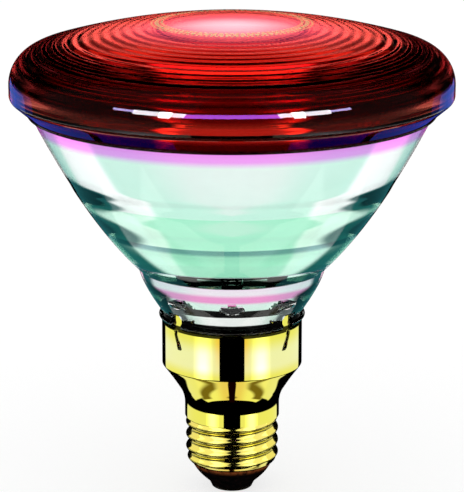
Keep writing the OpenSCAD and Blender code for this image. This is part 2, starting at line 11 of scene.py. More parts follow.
import bpy
import numpy as np
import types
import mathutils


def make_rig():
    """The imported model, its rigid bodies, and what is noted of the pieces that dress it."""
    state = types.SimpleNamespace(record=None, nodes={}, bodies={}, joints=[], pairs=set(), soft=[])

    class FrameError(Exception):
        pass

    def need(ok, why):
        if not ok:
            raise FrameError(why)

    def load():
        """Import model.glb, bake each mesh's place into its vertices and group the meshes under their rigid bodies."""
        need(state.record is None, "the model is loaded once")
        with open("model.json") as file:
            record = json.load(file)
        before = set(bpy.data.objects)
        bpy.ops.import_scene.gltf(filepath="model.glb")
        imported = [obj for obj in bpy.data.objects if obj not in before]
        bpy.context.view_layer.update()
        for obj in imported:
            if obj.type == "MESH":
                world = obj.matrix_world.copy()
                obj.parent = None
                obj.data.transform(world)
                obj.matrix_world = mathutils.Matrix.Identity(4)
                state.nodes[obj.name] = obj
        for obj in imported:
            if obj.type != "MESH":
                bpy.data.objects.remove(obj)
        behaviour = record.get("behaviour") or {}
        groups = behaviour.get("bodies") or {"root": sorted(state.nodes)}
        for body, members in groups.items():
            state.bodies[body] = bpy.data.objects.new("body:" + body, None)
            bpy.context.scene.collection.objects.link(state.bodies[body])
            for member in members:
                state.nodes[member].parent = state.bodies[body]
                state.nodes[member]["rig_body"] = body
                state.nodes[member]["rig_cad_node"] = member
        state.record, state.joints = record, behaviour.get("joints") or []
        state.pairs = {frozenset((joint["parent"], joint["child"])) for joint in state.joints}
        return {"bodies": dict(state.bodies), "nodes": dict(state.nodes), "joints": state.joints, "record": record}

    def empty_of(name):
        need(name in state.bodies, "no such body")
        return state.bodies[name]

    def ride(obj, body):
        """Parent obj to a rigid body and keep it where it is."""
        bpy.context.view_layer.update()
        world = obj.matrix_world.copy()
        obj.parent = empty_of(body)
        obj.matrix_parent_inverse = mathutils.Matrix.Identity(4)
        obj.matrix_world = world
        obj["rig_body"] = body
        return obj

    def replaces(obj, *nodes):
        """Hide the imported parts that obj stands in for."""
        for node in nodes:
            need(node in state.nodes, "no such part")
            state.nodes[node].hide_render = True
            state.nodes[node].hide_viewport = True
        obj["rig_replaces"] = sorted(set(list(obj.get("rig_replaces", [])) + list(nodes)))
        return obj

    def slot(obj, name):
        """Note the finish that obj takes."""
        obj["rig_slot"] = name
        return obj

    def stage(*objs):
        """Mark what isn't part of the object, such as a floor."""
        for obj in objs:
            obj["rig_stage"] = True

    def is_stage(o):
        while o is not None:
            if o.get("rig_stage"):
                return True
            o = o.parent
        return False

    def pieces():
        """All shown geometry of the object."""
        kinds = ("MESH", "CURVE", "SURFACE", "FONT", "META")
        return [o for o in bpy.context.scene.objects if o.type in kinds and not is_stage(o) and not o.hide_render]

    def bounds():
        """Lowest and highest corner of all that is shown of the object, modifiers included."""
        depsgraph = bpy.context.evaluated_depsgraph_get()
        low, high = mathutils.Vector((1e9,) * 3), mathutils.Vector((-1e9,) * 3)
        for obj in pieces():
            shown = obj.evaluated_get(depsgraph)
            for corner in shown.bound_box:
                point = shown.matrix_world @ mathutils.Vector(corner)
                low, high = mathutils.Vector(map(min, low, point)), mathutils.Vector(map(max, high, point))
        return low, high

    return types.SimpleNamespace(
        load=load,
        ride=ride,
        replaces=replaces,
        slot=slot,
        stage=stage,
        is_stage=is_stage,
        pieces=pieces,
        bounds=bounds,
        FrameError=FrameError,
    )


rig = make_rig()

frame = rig.load()
cad_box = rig.bounds()
MM = 0.001
BODY = "root"
scene = bpy.context.scene
link = scene.collection.objects.link
print("CAD nodes:", len(frame["nodes"]), "box:", [[round(v, 4) for v in corner] for corner in cad_box])


# %% [markdown]
# ## The camera
#
# From a good half metre away and a little above, the lens shows as a shallow ellipse. The camera could be
# aimed by a constraint, but its place, downward pitch and focal length say the same in a few numbers.

# %% Camera
CAMERA_PLACE = (0.0, -0.6592, 0.24435)
CAMERA_PITCH = 14.815
camera_data = bpy.data.cameras.new("camera")
camera_data.lens, camera_data.sensor_width, camera_data.shift_y = 178.527, 36.0, 0.0049
camera = bpy.data.objects.new("camera", camera_data)
camera.location = CAMERA_PLACE
camera.rotation_euler = (math.radians(90.0 - CAMERA_PITCH), 0.0, 0.0)
link(camera)
scene.camera = camera
print("camera", CAMERA_PLACE, "pitch", CAMERA_PITCH)


# %% [markdown]
# ## Node helpers
#
# Every finish below is a small tree of shader nodes. It could be drawn by hand, but code can repeat what
# finishes share. The helpers add nodes, do arithmetic, make soft-edged masks and noise, and mix colours.

# %% Node helpers
class Tree:
    """Adds nodes to one node tree. A socket given to an input is linked, a number or colour is set."""

    def __init__(self, owner):
        owner.use_nodes = True
        self.tree = owner.node_tree
        self.tree.nodes.clear()

    def add(self, kind, inputs=None, **settings):
        node = self.tree.nodes.new(kind)
        for name, value in settings.items():
            setattr(node, name, value)
        for name, value in (inputs or {}).items():
            socket = node.inputs[name]
            if isinstance(value, bpy.types.NodeSocket):
                self.tree.links.new(value, socket)
            else:
                socket.default_value = (*value, 1.0) if socket.type == "RGBA" else value
        return node

    def math(self, operation, a, b=0.0, clamp=False):
        return self.add("ShaderNodeMath", {0: a, 1: b}, operation=operation, use_clamp=clamp).outputs[0]

    def times(self, a, b):
        return self.math("MULTIPLY", a, b)

    def mask(self, value, low, high, at_low=0.0, at_high=1.0):
        """Goes smoothly from at_low to at_high as value goes from low to high."""
        limits = {"Value": value, "From Min": low, "From Max": high, "To Min": at_low, "To Max": at_high}
        return self.add("ShaderNodeMapRange", limits, interpolation_type="SMOOTHSTEP").outputs[0]

    def fall(self, value, low, high):
        """1 below low and 0 above high."""
        return self.mask(value, low, high, 1.0, 0.0)

    def mix(self, factor, a, b):
        """Colour a where factor is 0 and colour b where it is 1."""
        return self.add("ShaderNodeMix", {0: factor, 6: a, 7: b}, data_type="RGBA").outputs[2]

    def noise(self, vector, scale, detail=3.0):
        return self.add("ShaderNodeTexNoise", {"Vector": vector, "Scale": scale, "Detail": detail}).outputs[0]

    def millimetres_up(self, place):
        """Height in millimetres of a point given in object coordinates."""
        return self.times(self.add("ShaderNodeSeparateXYZ", {0: place}).outputs[2], 1.0 / MM)


print("node helpers ready")


# %% [markdown]
# ## The studio
#
# Glass and polished brass have hardly any colour of their own: they show the room. So they stand in a white
# tent with black cards, which give dark edges. Cards could be planes round the lamp, but those would throw
# shadows, so the tent is the world shader. It reads a ray's direction, as a bearing round the lamp (0
# towards the camera, 180 behind) and a height above the horizon, both in degrees.

# %% Tent helpers
BLACK, WHITE = (0.0, 0.0, 0.0), (1.0, 1.0, 1.0)


class Tent(Tree):
    """The world's node tree, with a ray's direction taken apart and cards to hang across it."""

    def __init__(self, world):
        super().__init__(world)
        way = self.add("ShaderNodeTexCoord").outputs["Generated"]
        x, self.y, self.z = self.add("ShaderNodeSeparateXYZ", {0: way}).outputs
        self.side = self.math("ABSOLUTE", x)
        to_camera = self.times(self.y, -1.0)
        self.bearing = self.math("DEGREES", self.math("ARCTAN2", self.side, to_camera))
        self.height = self.math("DEGREES", self.math("ARCSINE", self.z))
        self.room = BLACK

    def between(self, value, low, high, soft=1.0):
        """1 where value lies between low and high, with edges as wide as soft."""
        rise = self.mask(value, low - soft / 2, low + soft / 2)
        return self.times(rise, self.fall(value, high - soft / 2, high + soft / 2))

    def card(self, colour, *masks):
        """Lays a coloured card over the room so far, where all its masks are 1."""
        factor = masks[0]
        for mask in masks[1:]:
            factor = self.times(factor, mask)
        self.room = self.mix(factor, self.room, colour)


print("tent helpers ready")


# %% [markdown]
# ## What brass and gloss show
#
# Each card is a light or dark patch on the brass. Bright walls give the yellow, a tall panel at each side
# of the camera gives the skirt's two white bands, and black cards in front, below and behind give the dark
# lines between them.

# %% Room for gloss
def gloss_room(t, side, bearing, height):
    t.room = t.mix(t.mask(height, -15.8, -13.8), (0.93, 0.95, 0.93), (0.04, 0.04, 0.04))
    panel = t.mix(t.mask(height, -18.4, -17.0), (2.8, 2.8, 3.0), (1.6, 1.6, 1.7))
    t.card(panel, t.between(bearing, 38.0, 60.0, 18.0), t.fall(height, -15.8, -13.8))
    t.card((1.0, 0.72, 0.45), t.between(bearing, 10.0, 28.0, 14.0), t.between(height, -17.5, -15.0))
    # The table below, warm under the lamp and dim at each side, and the black ring round it
    t.card((1.0, 1.0, 0.95), t.fall(height, -60.0, -56.0))
    t.card((0.90, 0.72, 0.60), t.fall(side, 0.10, 0.30), t.fall(height, -72.0, -66.0))
    t.card((0.20, 0.15, 0.04), t.between(bearing, 102.0, 121.0, 10.0),
           t.between(height, -76.0, -56.0, 7.0))
    t.card(BLACK, t.between(height, -56.0, -21.5, 2.0), t.fall(bearing, 112.0, 118.0))
    t.card(BLACK, t.between(height, -42.0, -21.5, 2.0))
    low_front = t.math("ADD", t.y, t.times(t.z, -0.09))
    t.card(BLACK, t.fall(low_front, -0.02, 0.0), t.fall(height, -22.5, -20.5))
    t.card((0.006, 0.0, 0.0), t.fall(side, 0.052, 0.064), t.fall(t.z, -0.97, -0.95))
    # The camera's black card, a black card behind the lamp, and one above the sides
    t.card(BLACK, t.fall(bearing, 20.0, 21.0), t.between(height, -64.0, 75.0, 2.0))
    t.card(BLACK, t.mask(bearing, 141.0, 144.0), t.mask(t.y, 0.08, 0.13))
    t.card(BLACK, t.mask(bearing, 100.0, 120.0), t.mask(height, -8.0, 0.0))
    # A pale round glow at the back, low over the lens, with a pink edge
    across = t.times(side, 9.0)
    up = t.times(t.math("SUBTRACT", height, 17.0), 0.085)
    far = t.math("SQRT", t.math("ADD", t.math("POWER", across, 2.0), t.math("POWER", up, 2.0)))
    t.card((0.7, 0.12, 0.42), t.fall(far, 0.3, 1.3), t.mask(bearing, 120.0, 150.0))
    t.card((2.6, 1.7, 2.1), t.fall(far, 0.05, 0.75), t.mask(bearing, 120.0, 150.0))
    return t.room


print("room for gloss ready")


# %% [markdown]
# ## What is seen through glass
#
# A ray that goes into the clear bowl, meets the mirror and comes back out has crossed two glass surfaces.
# Through the ruby lens it has crossed four. The bowl should look pale with dark teal edges and the lens
# dark with a bright middle, so the tent counts the surfaces that a ray has crossed and answers with one of
# two rooms.

# %% Rooms for glass
def bowl_room(t, side, bearing, height):
    """Seen through the bowl's wall: a white room, dark behind the lamp and above it."""
    behind = t.mask(bearing, 130.0, 150.0)
    t.room = t.mix(t.mask(bearing, 40.0, 95.0), (1.06, 1.0, 1.03), (0.84, 1.0, 0.95))
    t.card((1.45, 1.2, 1.3), t.mask(bearing, 114.0, 122.0), t.between(height, -60.0, -26.0, 4.0))
    lean = t.math("SUBTRACT", bearing, height)
    t.card((0.02, 0.12, 0.13), t.mask(bearing, 144.0, 153.0), t.mask(lean, 180.0, 190.0),
           t.mask(height, -62.0, -56.0))
    t.card((0.015, 0.09, 0.095), t.mask(height, -20.0, -13.0), t.mask(bearing, 130.0, 148.0))
    t.card(BLACK, t.mask(height, 6.0, 14.0), t.mask(bearing, 92.0, 108.0))
    t.card((0.72, 0.95, 0.95), t.fall(side, 0.20, 0.40), behind, t.between(height, -19.0, -9.0, 4.0))
    t.card((3.0, 1.9, 2.2), t.fall(side, 0.02, 0.22), behind, t.between(height, -18.0, 26.0, 6.0))
    return t.room


def lens_room(t, side, bearing, height):
    """Seen through the lens: a dark room, lit from above the camera and by a slot behind."""
    t.room = BLACK
    t.card((1.1, 0.9, 0.9), t.fall(bearing, 84.0, 104.0), t.between(height, 8.0, 30.0, 5.0))
    t.card((0.5, 0.4, 0.45), t.fall(bearing, 50.0, 66.0), t.between(height, 45.0, 60.0, 5.0))
    t.card((4.0, 3.0, 3.0), t.fall(bearing, 50.0, 66.0), t.between(height, 26.0, 45.0, 4.0))
    t.card((1.2, 1.0, 1.0), t.fall(side, 0.08, 0.26), t.mask(bearing, 130.0, 150.0),
           t.between(height, -18.0, 26.0, 6.0), t.fall(height, 4.0, 12.0))
    return t.room


print("rooms for glass ready")


# %% [markdown]
# ## The tent
#
# Here the three rooms come together. Rays that light a dull surface, such as the floor, see plain white, so
# the dark cards throw no shade on it.

# %% Studio tent
CROSSED_BY_LENS = 3.5


def build_world():
    world = bpy.data.worlds.new("tent")
    scene.world = world
    t = Tent(world)
    way = t.side, t.bearing, t.height
    gloss, bowl, lens = gloss_room(t, *way), bowl_room(t, *way), lens_room(t, *way)
    paths = t.add("ShaderNodeLightPath").outputs
    inner = t.mix(t.math("GREATER_THAN", paths["Transmission Depth"], CROSSED_BY_LENS), bowl, lens)
    shown = t.mix(paths["Is Transmission Ray"], gloss, inner)
    seen = t.math("ADD", paths["Is Glossy Ray"], paths["Is Transmission Ray"], clamp=True)
    tent = t.add("ShaderNodeBackground", {"Color": shown, "Strength": 1.0})
    plain = t.add("ShaderNodeBackground", {"Color": WHITE, "Strength": 1.0})
    both = t.add("ShaderNodeMixShader", {0: seen, 1: plain.outputs[0], 2: tent.outputs[0]})
    t.add("ShaderNodeOutputWorld", {"Surface": both.outputs[0]})
    print("studio tent:", len(t.tree.nodes), "nodes")


build_world()


# %% [markdown]
# ## The floor
#
# The lamp stands on a plain pale floor, which catches a soft shadow. Lit alone it would turn grey far away,
# so it also glows a little. It is hidden from glossy and transmitted rays, because below the horizon the
# tent answers them.

# %% Floor
FLOOR_HALF, FLOOR_GREY, FLOOR_GLOW = 4.0, 0.3, 0.72


def build_floor():
    mesh = bpy.data.meshes.new("floor")
    corners = [(x * FLOOR_HALF, y * FLOOR_HALF, 0.0) for x, y in ((-1, -1), (1, -1), (1, 1), (-1, 1))]
    mesh.from_pydata(corners, [], [(0, 1, 2, 3)])
    floor = bpy.data.objects.new("floor", mesh)
    link(floor)
    material = bpy.data.materials.new("floor")
    t = Tree(material)
    diffuse = t.add("ShaderNodeBsdfDiffuse", {"Color": (FLOOR_GREY, FLOOR_GREY, FLOOR_GREY)})
    glow = t.add("ShaderNodeEmission", {"Color": WHITE, "Strength": FLOOR_GLOW})
    total = t.add("ShaderNodeAddShader", {0: diffuse.outputs[0], 1: glow.outputs[0]})
    t.add("ShaderNodeOutputMaterial", {"Surface": total.outputs[0]})
    mesh.materials.append(material)
    floor.visible_glossy = False
    floor.visible_transmission = False
    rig.stage(floor)
    print("floor", 2 * FLOOR_HALF, "m square")


build_floor()
scene.view_settings.view_transform = "Standard"


# %% [markdown]
# ## Surfaces
#
# Almost everything on a lamp is turned. A screw modifier could do that too, but lugs, pockets and slits
# need single points to be moved. A turned surface is a grid of two parameters, the place along the profile
# and the angle round the axis, so numpy can work out all its points at once.

# %% Meshes from arrays
def mesh_object(name, points, faces, slot, material, replaced=(), sharp=35.0):
    """Makes a riding object from a list or grid of points in millimetres and a list of faces."""
    mesh = bpy.data.meshes.new(name)
    mesh.from_pydata(np.reshape(points, (-1, 3)) * MM, [], [tuple(face) for face in faces])
    mesh.validate()
    mesh.shade_smooth()
    mesh.set_sharp_from_angle(angle=math.radians(sharp))
    piece = bpy.data.objects.new(name, mesh)
    link(piece)
    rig.ride(piece, BODY)
    if replaced:
        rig.replaces(piece, *replaced)
    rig.slot(piece, slot)
    mesh.materials.append(material)
    print(name, len(mesh.vertices), "points,", len(mesh.polygons), "faces")
    return piece


def grid_faces(rows, columns, close_rows=False):
    """Quads of a grid that closes round its columns, and round its rows too when close_rows is set."""
    i, j = np.meshgrid(np.arange(rows if close_rows else rows - 1), np.arange(columns), indexing="ij")
    k, n = (i + 1) % rows, (j + 1) % columns
    return np.stack([i * columns + j, i * columns + n, k * columns + n, k * columns + j], -1).reshape(-1, 4)


def pole_faces(rows, columns):
    """Triangles from the first and the last row of a grid to two poles, the points after its own."""
    column, pole, last_row = np.arange(columns), rows * columns, (rows - 1) * columns
    following = (column + 1) % columns
    start = np.stack([0 * column + pole, following, column], -1)
    end = np.stack([0 * column + pole + 1, last_row + column, last_row + following], -1)
    return start.tolist() + end.tolist()


print("mesh helpers ready")


# %% Turned surfaces
def polar(r, angle, z):
    """Points at radius r, direction angle and height z: x = r cos angle, y = r sin angle."""
    return np.stack([r * np.cos(angle), r * np.sin(angle), z + 0 * angle], -1)


def lathe(name, profile, slot, material, steps, replaced=(), sharp=35.0, press=None):
    """A profile, anticlockwise in the r-z plane, at even angles of a full circle.

    One that goes from axis to axis is closed by two poles, and any other closes into a ring. A function
    press, if given, moves the points of the turned grid."""
    profile = np.asarray(profile, float)
    capped = np.allclose(profile[[0, -1], 0], 0.0)
    outline = profile[1:-1] if capped else profile
    grid = polar(outline[:, :1], np.linspace(0.0, 2 * np.pi, steps, endpoint=False), outline[:, 1:])
    points = (press(grid) if press else grid).reshape(-1, 3)
    faces = grid_faces(len(grid), steps, close_rows=not capped).tolist()
    if capped:
        points = np.concatenate([points, [[0, 0, profile[0, 1]], [0, 0, profile[-1, 1]]]])
        faces += pole_faces(len(grid), steps)
    return mesh_object(name, points, faces, slot, material, replaced, sharp)


print("lathe ready")


# %% Outline helpers
def arc(centre, radius, first, last, steps):
    """Points on an arc about a centre in the r-z plane, from angle first to angle last in degrees."""
    angle = np.radians(np.linspace(first, last, steps))
    return np.stack([centre[0] + radius * np.cos(angle), centre[1] + radius * np.sin(angle)], -1)


def rounded(a, b, c, radius, steps=8):
    """The arc of a given radius that rounds the corner b of the outline a, b, c."""
    a, b, c = (np.asarray(p, float) for p in (a, b, c))
    u, v = (a - b) / np.linalg.norm(a - b), (c - b) / np.linalg.norm(c - b)
    half = math.acos(np.clip(u @ v, -1, 1)) / 2
    centre = b + (u + v) / np.linalg.norm(u + v) * radius / math.sin(half)
    first, last = b + u * radius / math.tan(half) - centre, b + v * radius / math.tan(half) - centre
    turn, t = math.pi - 2 * half, np.linspace(0, 1, steps)[:, None]
    return centre + (np.sin(turn * (1 - t)) * first + np.sin(turn * t) * last) / math.sin(turn)


def beside(path, distance):
    """A smooth path moved to its left: each point goes along the normal of its own tangent."""
    tangent = np.gradient(path, axis=0)
    tangent /= np.linalg.norm(tangent, axis=1, keepdims=True)
    return path + distance * np.stack([-tangent[:, 1], tangent[:, 0]], -1)


def spread(points, spacing):
    """The same outline with points added along its straight runs, at most spacing apart."""
    points = np.asarray(points, float)
    out = [points[:1]]
    for a, b in zip(points[:-1], points[1:]):
        count = max(1, int(np.ceil(np.linalg.norm(b - a) / spacing)))
        share = np.linspace(0.0, 1.0, count + 1)[1:, None]
        out.append(a + (b - a) * share)
    return np.concatenate(out)


def smooth(value, low, high):
    """0 below low, 1 above high, and 3t^2 - 2t^3 between them."""
    t = np.clip((value - low) / (high - low), 0, 1)
    return t * t * (3 - 2 * t)


print("outline helpers ready")


# %% [markdown]
# ## Glass
#
# The mould leaves a slow ripple in pressed glass and the melt leaves faint streaks. Both could be modelled,
# but a ripple too shallow for that already bends reflections. So each glass gets a bump of a few
# micrometres and a colour that drifts between two close tints.

# %% Glass finishes
def finish(name, build):
    """Makes a material: build(tree, object coordinates) returns its surface socket."""
    material = bpy.data.materials.new(name)
    t = Tree(material)
    place = t.add("ShaderNodeTexCoord").outputs["Object"]
    t.add("ShaderNodeOutputMaterial", {"Surface": build(t, place)})
    return material


def painted_rim_shade(t, place, colour):
    """Paints shade into the ruby: darkens it where the lens bends down beyond its dome, and once more at its foot."""
    x, y, z = t.add("ShaderNodeSeparateXYZ", {0: place}).outputs
    radius = t.math("SQRT", t.math("ADD", t.times(x, x), t.times(y, y)))
    # Painted shade: near-black ruby beyond the dome's edge and at the foot of the rim
    beyond_dome = t.times(t.mask(radius, 42 * MM, 51 * MM), t.mask(z, 116.5 * MM, 118.5 * MM))
    shoulder = t.mix(beyond_dome, colour, (0.16, 0.01, 0.01))
    painted_foot_shade = t.fall(z, 112.8 * MM, 114.2 * MM)
    return t.mix(painted_foot_shade, shoulder, (0.12, 0.005, 0.01))


def glass(name, tint, streak, ripple=0.02, ripple_scale=60.0, shade=None, gloss=0.5):
    """Pressed glass. A function shade, if given, changes the colour from place to place."""
    def build(t, place):
        colour = t.mix(t.mask(t.noise(place, 90.0), 0.35, 0.65), tint, streak)
        if shade:
            colour = shade(t, place, colour)
        waves = t.add("ShaderNodeBump", {"Height": t.noise(place, ripple_scale, 1.0), "Strength": ripple,
                                         "Distance": 0.001})
        return t.add("ShaderNodeBsdfPrincipled", {
            "Base Color": colour, "Roughness": 0.0, "IOR": 1.474, "Transmission Weight": 1.0,
            "Specular IOR Level": gloss, "Normal": waves.outputs[0]}).outputs[0]
    return finish(name, build)


def black_glass():
    """Opaque glass, nearly black, with a painted brown glow of the brass shell just below the shell."""
    def build(t, place):
        # Painted reflection: brown glow of the shell's brass, rising from 6.2 mm to full at 8 mm
        painted_shell_glow = t.mask(t.millimetres_up(place), 6.2, 8.0)
        colour = t.mix(painted_shell_glow, (0.001, 0.001, 0.001), (0.17, 0.045, 0.012))
        colour = t.mix(t.mask(t.noise(place, 700.0), 0.4, 0.7), colour, (0.004, 0.002, 0.002))
        return t.add("ShaderNodeBsdfPrincipled", {"Base Color": colour, "Roughness": 0.2, "IOR": 1.5,
                                                  "Specular IOR Level": 0.0}).outputs[0]
    return finish("black_glass", build)


# The ruby's shade function paints shade at the lens's shoulder and foot
RUBY = glass("ruby_glass", (0.98, 0.14, 0.09), (0.97, 0.16, 0.11), ripple=0.01, shade=painted_rim_shade)
CLEAR = glass("clear_glass", (0.89, 0.985, 0.95), (0.87, 0.98, 0.945), gloss=0.25)
WELD = glass("weld_glass", (0.35, 0.03, 0.04), (0.28, 0.02, 0.03), ripple=0.1, ripple_scale=300.0)
BLACK_GLASS = black_glass()
print("glasses:", RUBY.name, CLEAR.name, WELD.name, BLACK_GLASS.name)


# %% [markdown]
# ## Metals
#
# The brass is spun, which leaves very fine rings that break its reflections up a little. They could be cut
# as grooves, but they are finer than any mesh. So they come from noise that changes quickly along the axis
# and hardly round it.

# %% Metal finishes
def spun_rings(t, place):
    """Noise that changes 9000 times a metre along the axis and only 40 times across it."""
    drawn_out = t.add("ShaderNodeMapping", {"Vector": place, "Scale": (40.0, 40.0, 9000.0)}).outputs[0]
    return t.noise(drawn_out, 1.0, 2.0)


def metal(name, colour, other, roughness, rings=0.0, scale=120.0):
    """A metal that is clouded with another tint, and as rough as clouds and rings together say."""
    def build(t, place):
        cloud, ring = t.noise(place, scale), spun_rings(t, place)
        tint = t.mix(t.mask(cloud, 0.35, 0.65), colour, other)
        sheen = t.math("ADD", t.times(cloud, 0.5), t.times(ring, 0.5))
        bump = t.add("ShaderNodeBump", {"Height": ring, "Strength": rings, "Distance": 0.0001})
        return t.add("ShaderNodeBsdfPrincipled", {
            "Base Color": tint, "Metallic": 1.0, "Roughness": t.mask(sheen, 0.3, 0.7, *roughness),
            "Normal": bump.outputs[0]}).outputs[0]
    return finish(name, build)


SHELL_BRASS = metal("shell_brass", (0.94, 0.84, 0.16), (0.92, 0.80, 0.19), (0.05, 0.10), rings=0.04)
CONTACT_BRASS = metal("contact_brass", (0.05, 0.035, 0.02), (0.03, 0.02, 0.012), (0.25, 0.4))
SOLDER = metal("solder", (0.55, 0.56, 0.58), (0.42, 0.43, 0.45), (0.25, 0.45), scale=900.0)
NICKEL = metal("nickel", (0.66, 0.62, 0.56), (0.6, 0.57, 0.52), (0.15, 0.3))
TUNGSTEN = metal("tungsten", (0.35, 0.33, 0.31), (0.28, 0.27, 0.27), (0.3, 0.45))
MOLYBDENUM = metal("molybdenum", (0.58, 0.58, 0.6), (0.5, 0.5, 0.52), (0.25, 0.4))
FERRULE = metal("ferrule_alloy", (0.80, 0.80, 0.82), (0.72, 0.72, 0.75), (0.08, 0.2), rings=0.1)
COPPER = metal("lead_copper", (0.85, 0.5, 0.36), (0.7, 0.38, 0.26), (0.2, 0.35))
WELD_METAL = metal("weld_metal", (0.4, 0.38, 0.36), (0.25, 0.22, 0.2), (0.4, 0.6), scale=1500.0)
print("metals ready")


# %% [markdown]
# ## Metals in bands
#
# The mirror is aluminium boiled off a hot wire onto the glass. Seen from outside, through the pressed
# glass, it shows rings of mint, green and pink, and some are painted light: the pink rings are a painted
# reflection of the ruby lens, the dark and green rings painted shade, and a pale ring a painted highlight.
# The skirt's paler middle is a painted sheen, and the heel steel's dark bands are painted shade. One
# material for each ring would leave hard joints, so a single one changes its colour with height.

# %% Banded finishes
def banded(name, bands, roughness):
    """A metal whose colour changes with height: bands are (height in mm, colour), from low to high."""
    def build(t, place):
        z = t.millimetres_up(place)
        colour = bands[0][1]
        for (low, _), (high, tint) in zip(bands[:-1], bands[1:]):
            colour = t.mix(t.mask(z, low, high), colour, tint)
        cloud = t.noise(place, 120.0)
        dull = t.mix(t.mask(cloud, 0.35, 0.65, 0.0, 0.04), colour, (0.5, 0.5, 0.45))
        sheen = t.math("ADD", t.times(cloud, 0.7), t.times(spun_rings(t, place), 0.3))
        return t.add("ShaderNodeBsdfPrincipled", {
            "Base Color": dull, "Metallic": 1.0, "Roughness": t.mask(sheen, 0.3, 0.7, *roughness)}).outputs[0]
    return finish(name, build)


SHADE_DARK, LENS_GLOW_PINK, PALE_LENS_GLOW = (0.004, 0.004, 0.004), (0.98, 0.36, 0.70), (0.98, 0.88, 0.96)
PALE_HIGHLIGHT, MINT, SHADED_GREEN = (0.86, 1.0, 0.95), (0.60, 0.955, 0.76), (0.17, 0.38, 0.36)
# Painted light in the mirror: dark rings at 56-58.3, 65.8-69.2 and 78.4-79.4 mm are painted shade, the pale ring at
# 69.4-70.1 mm a painted highlight, and pink at 61-65 mm and above 105 mm a painted reflection of the ruby lens
MIRROR_WITH_PAINTED_LIGHT = banded("mirror_aluminium", [
    (56.0, SHADE_DARK), (58.3, SHADE_DARK), (58.6, (0.76, 0.96, 0.86)), (60.2, (0.80, 0.96, 0.89)),
    (61.2, LENS_GLOW_PINK), (62.2, LENS_GLOW_PINK), (63.4, PALE_LENS_GLOW), (65.2, (0.98, 0.80, 0.95)),
    (65.8, (0.06, 0.16, 0.11)), (69.2, (0.05, 0.13, 0.09)), (69.4, PALE_HIGHLIGHT), (70.1, PALE_HIGHLIGHT),
    (70.4, (0.46, 0.86, 0.65)), (74.5, (0.50, 0.90, 0.69)), (77.2, (0.44, 0.80, 0.62)),
    (78.4, SHADED_GREEN), (79.4, SHADED_GREEN), (79.6, MINT), (89.1, MINT), (89.3, (0.84, 0.99, 0.92)),
    (104.7, (0.90, 0.99, 0.95)), (107.2, (1.0, 0.38, 1.0)), (110.0, (1.0, 0.28, 0.94))], (0.01, 0.03))
# Painted sheen: the brass is paler from 41 to 44 mm and a deeper yellow at the skirt's top and foot
SKIRT_BRASS_WITH_SHEEN = banded("skirt_brass", [
    (37.5, (0.93, 0.86, 0.12)), (41.0, (0.96, 0.94, 0.42)), (44.0, (0.96, 0.95, 0.42)),
    (49.0, (0.92, 0.86, 0.11))], (0.02, 0.03))
HEEL_BRIGHT = (1.0, 1.0, 0.97)
# Painted shade: the heel steel is near black below 52.3 mm and above 56.4 mm, bright between
HEEL_STEEL_SHADED = banded("heel_steel_shaded", [
    (50.0, SHADE_DARK), (52.3, SHADE_DARK), (52.7, HEEL_BRIGHT), (56.2, HEEL_BRIGHT), (56.4, SHADE_DARK), (57.0, SHADE_DARK)],
    (0.05, 0.09))
print("banded:", MIRROR_WITH_PAINTED_LIGHT.name, SKIRT_BRASS_WITH_SHEEN.name, HEEL_STEEL_SHADED.name)


# %% [markdown]
# ## The bowl's outline
#
# The bowl is a paraboloid, because a mirror of that shape sends light from its focus out as a beam. Below
# its ledge it narrows into a neck, with a bead that rests on the brass skirt and a heel inside it. A curve
# could be drawn by hand, but a formula for each stretch keeps the mirror true.

# %% Bowl outside
JOINT_Z, LEDGE_Z, CAP_Z = 110.4, 65.6, 50.2
BOWL_RIM_R, LEDGE_R, BOWL_WALL = 55.9, 26.5, 3.5
GROWTH = (BOWL_RIM_R ** 2 - LEDGE_R ** 2) / (JOINT_Z - LEDGE_Z)
VERTEX_Z = LEDGE_Z - LEDGE_R ** 2 / GROWTH
ZONE_LOW_Z, ZONE_MID_Z = LEDGE_Z + 13.9, LEDGE_Z + 23.6
BAND_STEP, BAND_FOOT, BAND_TOP = 0.2, 1.3, 2.1
WELD_H = 1.2
HEEL_R, HEEL_BORE_R, HEEL_DROP, HEEL_CHAMFER = 19.25, 15.4, 6.5, 0.6
BEAD_R, BEAD_Z, BEAD_HALF = 20.5, 51.45, 0.95
WAIST = (20.0, 53.2)
FLARE_TOP = (LEDGE_R - 0.3, LEDGE_Z - 0.3)


def parabola(z_low, z_high, steps):
    """Outline of the plain paraboloid: radius = square root of (growth x height above the vertex)."""
    z = np.linspace(z_low, z_high, steps)
    return np.stack([np.sqrt(GROWTH * (z - VERTEX_Z)), z], -1)


def bowl_outside():
    """Stands proud of the paraboloid below the band step and shy of it above, with a soft edge between."""
    path = parabola(LEDGE_Z, JOINT_Z - WELD_H, 120)
    z = path[:, 1]
    proud = BAND_STEP / 2 * (z - LEDGE_Z) / (ZONE_MID_Z - LEDGE_Z)
    shy = -BAND_STEP / 2 * (JOINT_Z - z) / (JOINT_Z - ZONE_MID_Z)
    path[:, 0] += proud + (shy - proud) * smooth(z, ZONE_MID_Z - BAND_FOOT, ZONE_MID_Z + BAND_TOP)
    return np.concatenate([path, [[BOWL_RIM_R, JOINT_Z]]])


